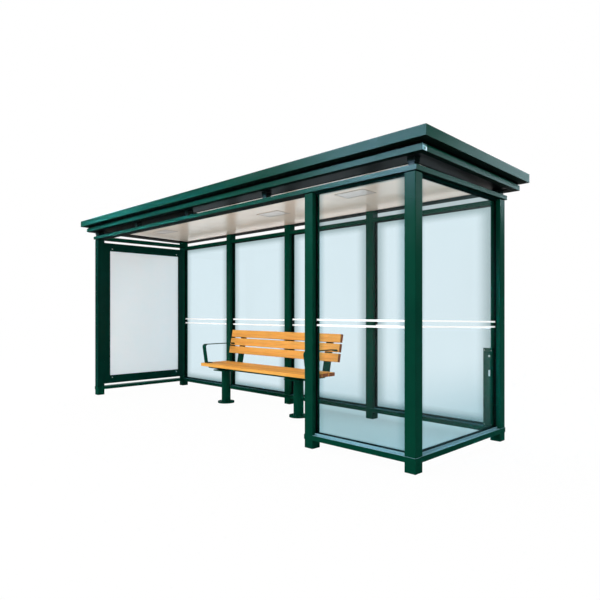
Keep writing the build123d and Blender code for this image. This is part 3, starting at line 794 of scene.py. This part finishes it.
def studio_world():
    """White to the eye and through glass, even light on the shelter, and a teal sky in its sheen."""
    world = bpy.data.worlds.new("studio")
    bpy.context.scene.world = world
    world.use_nodes = True
    tree = world.node_tree
    tree.nodes.clear()
    rays = add(tree, "LightPath")
    way = add(tree, "SeparateXYZ", {"Vector": add(tree, "TexCoord").outputs["Generated"]})

    # The eye and glass see white, and so, by four tenths, does a sheen that looks to the rear left.
    seen = add(tree, "Math", {0: rays.outputs["Is Camera Ray"], 1: rays.outputs["Is Transmission Ray"]},
               operation="MAXIMUM")
    rearward = add(tree, "MapRange", {"Value": way.outputs["Y"], "From Min": 0.0, "From Max": 0.2})
    leftward = add(tree, "MapRange", {"Value": way.outputs["X"], "From Min": 0.3, "From Max": 0.1})
    behind = add(tree, "Math", {0: rearward.outputs["Result"], 1: leftward.outputs["Result"]},
                 operation="MULTIPLY")
    glossy = add(tree, "Math", {0: rays.outputs["Is Glossy Ray"], 1: behind.outputs[0]},
                 operation="MULTIPLY")
    mirrored = add(tree, "Math", {0: glossy.outputs[0], 1: 0.4, 2: seen.outputs[0]},
                   operation="MULTIPLY_ADD", use_clamp=True)

    # Even light, stronger from above and weaker from the right. Paint and metal mirror a teal sky.
    height = add(tree, "MapRange", {"Value": way.outputs["Z"], "From Min": 0.0, "From Max": 0.3,
                                    "To Min": 1.0, "To Max": 1.35})
    aside = add(tree, "MapRange", {"Value": way.outputs["X"], "From Min": -0.1, "From Max": 0.8,
                                   "To Min": 1.0, "To Max": 0.28})
    level = add(tree, "Math", {0: height.outputs["Result"], 1: aside.outputs["Result"]},
                operation="MULTIPLY")
    ambient = add(tree, "Background", {"Color": linear("#FDFEFF"), "Strength": level.outputs[0]})
    rise = add(tree, "MapRange", {"Value": way.outputs["Z"], "From Min": 0.02, "From Max": 0.28,
                                  "To Min": 0.15, "To Max": 1.2}, interpolation_type="SMOOTHSTEP")
    sheen_sky = add(tree, "Background", {"Color": linear("#86D4D2"), "Strength": rise.outputs["Result"]})
    lit = add(tree, "MixShader", {0: rays.outputs["Is Glossy Ray"], 1: ambient.outputs[0],
                                  2: sheen_sky.outputs[0]})

    # Seen through glass, the sky is a little dimmer high up and to the rear.
    white = add(tree, "Background", {"Color": (1, 1, 1, 1), "Strength": 1.0})
    climb = add(tree, "Math", {0: way.outputs["Z"], 1: way.outputs["Y"]}, operation="DIVIDE")
    upper = add(tree, "MapRange", {"Value": climb.outputs[0], "From Min": 0.206, "From Max": 0.216})
    deep = add(tree, "MapRange", {"Value": way.outputs["Y"], "From Min": 0.45, "From Max": 0.55})
    above = add(tree, "Math", {0: upper.outputs["Result"], 1: deep.outputs["Result"]}, operation="MULTIPLY")
    over = add(tree, "Math", {0: above.outputs[0], 1: rays.outputs["Is Transmission Ray"]},
               operation="MULTIPLY")
    haze = add(tree, "Background", {"Color": linear("#B6C4C8"), "Strength": 1.0})
    beyond = add(tree, "MixShader", {0: over.outputs[0], 1: white.outputs[0], 2: haze.outputs[0]})
    sky = add(tree, "MixShader", {0: mirrored.outputs[0], 1: lit.outputs[0], 2: beyond.outputs[0]})
    add(tree, "OutputWorld", {"Surface": sky.outputs[0]})


def floor_finish():
    """White studio floor that keeps the shelter's shadow, with painted shade where seen through glass and a
    teal tone in a sheen.
    """
    material = bpy.data.materials.new("pale_studio_floor")
    material.use_nodes = True
    tree = material.node_tree
    tree.nodes.clear()
    rays = add(tree, "LightPath")
    spot = add(tree, "SeparateXYZ", {"Vector": add(tree, "TexCoord").outputs["Object"]})

    # Open ground lies behind the shelter and not to its right. A sheen sees all other ground as teal.
    behind = add(tree, "MapRange", {"Value": spot.outputs["Y"], "From Min": 1.18, "From Max": 1.50})
    beside = add(tree, "MapRange", {"Value": spot.outputs["X"], "From Min": 2.7, "From Max": 2.3})
    open_ground = add(tree, "Math", {0: behind.outputs["Result"], 1: beside.outputs["Result"]},
                      operation="MULTIPLY")
    near = add(tree, "Math", {0: 1.0, 1: open_ground.outputs[0]}, operation="SUBTRACT")
    reflected = add(tree, "Math", {0: rays.outputs["Is Glossy Ray"],
                                   1: rays.outputs["Is Transmission Ray"]},
                    operation="SUBTRACT", use_clamp=True)
    dimmed = add(tree, "Math", {0: reflected.outputs[0], 1: near.outputs[0]}, operation="MULTIPLY")

    # Seen through a pane, the ground under and round the shelter keeps part of its shade and is painted a
    # cool, darker tone as more shade.
    off_x = add(tree, "Math", {0: spot.outputs["X"]}, operation="ABSOLUTE")
    off_y = add(tree, "Math", {0: spot.outputs["Y"]}, operation="ABSOLUTE")
    within_x = add(tree, "MapRange", {"Value": off_x.outputs[0], "From Min": 3.2, "From Max": 2.8})
    within_y = add(tree, "MapRange", {"Value": off_y.outputs[0], "From Min": 1.50, "From Max": 1.18})
    sheltered = add(tree, "Math", {0: within_x.outputs["Result"], 1: within_y.outputs["Result"]},
                    operation="MULTIPLY")
    paned = add(tree, "Math", {0: rays.outputs["Is Transmission Ray"], 1: sheltered.outputs[0]},
                operation="MULTIPLY")
    see = add(tree, "Math", {0: rays.outputs["Is Camera Ray"], 1: 0.97}, operation="MULTIPLY")
    share = add(tree, "Math", {0: sheltered.outputs[0], 1: -0.42, 2: 0.97}, operation="MULTIPLY_ADD")
    through = add(tree, "Math", {0: rays.outputs["Is Transmission Ray"], 1: share.outputs[0],
                                 2: see.outputs[0]}, operation="MULTIPLY_ADD", use_clamp=True)
    # Painted shade: through a pane, the ground near the shelter takes a darker cool colour.
    paned_shade_tint = add(tree, "Mix", {0: paned.outputs[0], 6: linear("#FAF8F5"), 7: linear("#D8EAEC")},
               data_type="RGBA")
    shade = add(tree, "Mix", {0: dimmed.outputs[0], 6: paned_shade_tint.outputs[2], 7: linear("#4F9C98")},
                data_type="RGBA")
    matt = add(tree, "BsdfDiffuse", {"Color": shade.outputs[2]})
    # Painted shade: through a pane, the glow near the shelter is a darker cool tone instead of white.
    pale = add(tree, "Mix", {0: paned.outputs[0], 6: (1, 1, 1, 1), 7: linear("#CBE4EA")}, data_type="RGBA")
    glow = add(tree, "Emission", {"Color": pale.outputs[2], "Strength": 1.0})
    ground = add(tree, "MixShader", {0: through.outputs[0], 1: matt.outputs[0], 2: glow.outputs[0]})
    add(tree, "OutputMaterial", {"Surface": ground.outputs[0]})
    return material


studio_world()
bpy.ops.mesh.primitive_plane_add(size=120, location=(0, 0, 0))
floor = bpy.context.active_object
floor.name = floor.data.name = "studio_floor"
floor.data.materials.append(floor_finish())
floor.select_set(False)

bpy.context.scene.view_settings.view_transform = "Standard"
